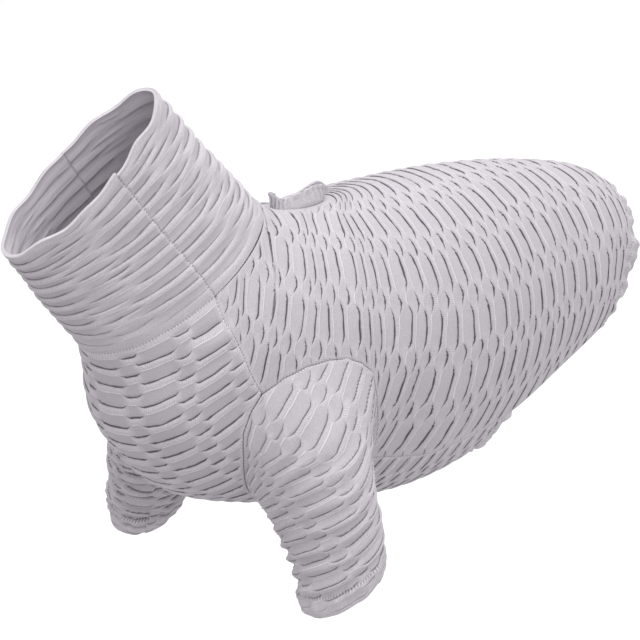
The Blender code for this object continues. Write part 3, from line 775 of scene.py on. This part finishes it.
sleeves = dict(
    drop=0.108, spread=0.184, cuff=0.051, pull=0.00012,
    # rings below the armhole: fore and aft, out, down, long half, wide half, tip, rake
    rings=(
        (-0.76, 0.80, 0.44, 1.14, 1.24, 0.42, 0.08),
        (-0.735, 0.93, 0.72, 0.99, 1.10, 0.22, 0.16),
        (-0.735, 1.00, 0.950, 0.97, 0.98, 0.10, 0.24)),
    around=256, down=196,
    start=0.74,         # share of the armhole's length at which the columns start
    crowdFrom=0.045,    # the ribs crowd together from this far down
    sag=0.0007,         # height of the slack folds, and what the armpit adds to it
    armpitSag=0.0009, armpit=0.055, armpitWide=0.035,
    groove=(0.0002, 0.0009),
    # lips sets the painted highlights on the lips, contrast the painted shade in the tucks
    band=0.036, rope=0.27, blur=0.10, contrast=0.75, lipsAndHighlights=0.95, dull=0.40,
)


def sleeve(node, side, longer, forward, lean, level, crowding, pitch, deep, shadeTint, seed):
    c = sleeves
    rim = np.linspace(body["cornerRow"], body["underarmRow"], 200)
    loop = np.concatenate([bodyPoint(rim, np.interp(rim, sideEdge[:, 0], sideEdge[:, 1])),
                           bodyPoint(rim[-2::-1], np.interp(rim[-2::-1], sideEdge[:, 0], sideEdge[:, 2]))])
    length = np.concatenate([[0.0], np.cumsum(np.linalg.norm(np.diff(loop, axis=0), axis=1))])
    place = (np.linspace(0, length[-1], c["around"] + 1) + c["start"] * length[-1]) % length[-1]
    loop = np.stack([np.interp(place, length, loop[:, k]) for k in range(3)], -1)
    middle = loop[:-1].mean(0)
    loop = loop + unit(middle - loop) * c["pull"]
    turn = np.arctan2(loop[:, 2] - middle[2], loop[:, 0] - middle[0])
    rings, inside = [loop], [middle]
    for fore, out, down, long, wide, tip, rake in c["rings"]:
        centre = np.array([fore * c["drop"] - forward, -out * c["spread"] / 2, -(c["drop"] + longer) * down])
        half = c["cuff"] / 2
        rings.append(centre + np.stack([long * half * np.cos(turn), -wide * half * np.sin(turn),
                                        c["cuff"] * (tip * np.sin(turn) + rake * np.cos(turn))], -1))
        inside.append(centre)
    rings = np.array(rings)
    levels = np.linspace(0, 3, c["down"] + 1)
    base = np.stack([throughRows(rings[:, k], levels) for k in range(len(loop))], 1)
    base[:, -1] = base[:, 0]
    normals = gridNormals(base, np.repeat(throughRows(np.array(inside), levels)[:, None], len(loop), 1))
    normals[:, 0] = normals[:, -1] = unit(normals[:, 0] + normals[:, -1])
    below = np.cumsum(np.linalg.norm(np.diff(base, axis=0, prepend=base[:1]), axis=2), axis=0)
    girth = np.cumsum(np.linalg.norm(np.diff(base, axis=1, prepend=base[:, :1]), axis=2), axis=1)
    girth = girth - girth[:, [int(np.argmax(loop[:, 2]))]]     # metres round from the top of the sleeve
    toCuff = below[-1] - below
    # ribs lean from the way down the sleeve, may run level with the cuff, and crowd together
    # lower down, where the cloth has slid into folds
    depth = loop[:, 2].max() - base[..., 2]
    down = depth - level * (depth[-1] - depth[-1].mean()) * smooth(below, 0.0, 0.06) \
        + crowding * np.maximum(depth - c["crowdFrom"], 0)
    angle = math.radians(lean)
    rib = (down * math.cos(angle) + girth * math.sin(angle)) / pitch
    s = girth * math.cos(angle) - depth * math.sin(angle)
    t, place, vary = crinklePlaces(rib, s, c["band"], seed)
    relief = crinkleRelief(t, place, vary, c["rope"], c["blur"], 1.5)
    fade = smooth(below, 0.0003, 0.003) * (0.45 + 0.55 * smooth(toCuff, 0.004, 0.014))
    # slack folds follow the ribs round the lower leg and are deepest in front, under the armpit
    folds = np.sin(2 * np.pi * rib / 1.4 + 2.2 * waver(s * 28, rib * 0.4, seed + 2))
    slack = smooth(below, 0.018, 0.045) * smooth(toCuff, 0.001, 0.015)
    sag = (c["sag"] + c["armpitSag"] * bell(girth + c["armpit"], c["armpitWide"])) * folds * slack
    height = sag + deep * relief * fade + 0.5 * hemRelief(toCuff, girth, seed) - seamGroove(below, c)
    height[:, 0] = height[:, -1] = (height[:, 0] + height[:, -1]) / 2
    outer = base + normals * height[..., None]
    inner = outer - normals * (body["cloth"] + 0.0004)
    mirror = np.array([1.0, side, 1.0])
    uv = np.stack([t * pitch, place * c["band"]], -1)
    marks = dict(fade=fade, vary=vary, edge=below, hem=toCuff - body["hemBand"], along=girth)
    piece = clothMesh(node + "_cloth", outer * mirror, inner * mirror, uv, marks, stride=(2, 2), wrap=True)
    finishPiece(piece, node, {**c, "pitch": pitch, "shadeTint": shadeTint})


# each sleeve's tint scales its cloth colour, partly its own tone and partly painted shade; the far right
# sleeve's lower tint paints the shade it lies in
sleeve("left_sleeve", 1, 0.0, 0.0, lean=46.0, level=0.0, crowding=1.0, pitch=0.0118,
       deep=1.0, shadeTint=0.91, seed=14.0)
sleeve("right_sleeve", -1, 0.010, 0.008, lean=3.0, level=1.0, crowding=0.6, pitch=0.0090,
       deep=1.9, shadeTint=0.86, seed=17.0)

welt = dict(
    height=0.017, gap=0.0004, slitWidth=0.011, around=200, levels=24,
    ruffle=0.0006, ribs=0.0008, rim=0.0004, inside=0.0012,
    # degrees round from the front, height and flare as shares of the height
    sections=((0, 0.60, 0.10), (30, 0.52, -0.06), (60, 0.40, -0.14), (110, 0.56, -0.18), (150, 0.62, -0.10),
              (180, 0.42, 0.25)),
    # lips and contrast set the painted highlights on the lips and the painted shade in the tucks; tint scales
    # this piece's cloth colour, partly its own tone and partly painted shade
    pitch=0.0062, band=0.030, rope=0.5, blur=0.1, contrast=0.5, lipsAndHighlights=0.3, dull=0.4, shadeTint=0.88,
)


def leashSlitWelt():
    c = welt
    first, last = body["slitRows"]
    around = np.linspace(0, 360, c["around"] + 1)
    turn = np.radians(around)
    ends = bodyPoint(np.array([first, last]), np.zeros(2))
    reach = np.linalg.norm(ends[1] - ends[0]) / 2 - c["gap"]
    share = np.sign(np.cos(turn)) * np.abs(np.cos(turn)) ** 0.7
    row = (first + last) / 2 - share * (last - first) / 2 * reach / (reach + c["gap"])
    aside = (c["slitWidth"] / 2 - c["gap"]) * np.sin(turn)
    base = bodyPoint(row, -np.degrees(np.arcsin(aside / throughRows(sections, row)[:, 4])))
    table = np.array(c["sections"])
    folded = np.minimum(around, 360 - around)
    ease = throughRows(table, np.interp(folded, table[:, 0], np.arange(len(table))))
    high, flare = ease[:, 1], ease[:, 2]
    outward = np.stack([-np.cos(turn), np.sin(turn), 0 * turn], -1)
    rise = np.linspace(0, 1, c["levels"] + 1)[:, None]
    up = -0.08 + 1.08 * rise
    # the free edge waves and the ribs run up into it: whole numbers of waves, so that the loop closes
    ruffle = c["ruffle"] * np.sin(turn * 7 + 1.0) * rise ** 2 \
        + c["ribs"] * np.sin(turn * 22) * np.sin(math.pi * rise)
    lift = 1 + 0.10 * np.sin(turn * 3 + 0.6)
    spread = c["height"] * flare * smooth(rise, 0.2, 1.1) + ruffle
    climb = (up * c["height"] * high * lift)[..., None] * np.array([0, 0, 1.0])
    points = base + climb + spread[..., None] * outward
    points[:, -1] = points[:, 0]
    centre = bodyPoint(np.array([(first + last) / 2]), np.zeros(1))[0]
    normals = gridNormals(points, np.broadcast_to(centre, points.shape))
    normals[:, 0] = normals[:, -1] = unit(normals[:, 0] + normals[:, -1])
    s = np.cumsum(np.linalg.norm(np.diff(points[0], axis=0, prepend=points[0, :1]), axis=1))[None] + 0 * rise
    toEdge = (1 - rise) * c["height"] * high
    t = up * c["height"] * high / c["pitch"]
    height = c["rim"] * smooth(toEdge, 0.0030, 0.0010)
    outer = points + normals * height[..., None]
    inner = points - normals * c["inside"]
    uv = np.stack([t * c["pitch"], s], -1)
    marks = dict(fade=0.6 * smooth(toEdge, 0.003, 0.005), vary=0.0 * s, edge=1.0 + 0 * s, hem=1.0 + 0 * s,
                 along=s)
    piece = clothMesh("leash_slit_welt_cloth", outer, inner, uv, marks, wrap=True)
    finishPiece(piece, "leash_slit_welt", c)


leashSlitWelt()

studio = dict(
    floorDrop=0.30, floorSize=3.0, floorPlace=(1.95, 2.25),
    horizon=0.60, zenith=1.12,
    # softboxes: name, place, width, watts
    lights=(("overhead softbox", (-0.05, -0.15, 1.5), 1.1, 8.6),
            ("side softbox", (-0.5, -1.4, 0.9), 1.0, 5.0),
            ("back softbox", (0.3, 1.2, 1.1), 1.0, 1.5)),
)


def addStudio(c):
    # a white paper sheet that begins under the jumper and lies behind it, so that little light
    # comes up from below, and a sky that pales towards the top
    size, (right, beyond) = c["floorSize"], c["floorPlace"]
    mesh = bpy.data.meshes.new("floor")
    turn = math.radians(camera["azimuth"])
    corners = [(x * size, y * size) for x, y in ((-1, -1), (1, -1), (1, 1), (-1, 1))]
    turned = [(x * math.cos(turn) - y * math.sin(turn) + right,
               x * math.sin(turn) + y * math.cos(turn) + beyond, -c["floorDrop"]) for x, y in corners]
    mesh.from_pydata(turned, [], [(0, 1, 2, 3)])
    floor = bpy.data.objects.new("floor", mesh)
    bpy.context.scene.collection.objects.link(floor)
    paper = bpy.data.materials.new("white paper sweep")   # matt card, nearly pure white
    paper.use_nodes = True
    shader = paper.node_tree.nodes["Principled BSDF"]
    shader.inputs["Base Color"].default_value = linear("#FCFCFC")
    shader.inputs["Roughness"].default_value = 0.9
    mesh.materials.append(paper)
    for name, location, width, watts in c["lights"]:
        data = bpy.data.lights.new(name, "AREA")
        data.shape, data.size, data.energy = "DISK", width, watts
        lamp = bpy.data.objects.new(name, data)
        lamp.location = location
        lamp.rotation_euler = (math.atan2(math.hypot(*location[:2]), location[2]), 0,
                               math.atan2(location[1], location[0]) + math.pi / 2)
        bpy.context.scene.collection.objects.link(lamp)
    world = bpy.data.worlds.new("studio")
    world.use_nodes = True
    tree = world.node_tree
    direction = addNode(tree, "ShaderNodeTexCoord")
    split = addNode(tree, "ShaderNodeSeparateXYZ", {}, {0: direction.outputs["Generated"]})
    sky = addNode(tree, "ShaderNodeMapRange", {1: -0.1, 2: 0.9, 3: c["horizon"], 4: c["zenith"]},
                  {0: split.outputs[2]})
    tree.nodes["Background"].inputs[0].default_value = (1, 1, 1, 1)
    tree.links.new(sky.outputs[0], tree.nodes["Background"].inputs[1])
    bpy.context.scene.world = world


addStudio(studio)
print("floor and lights placed")
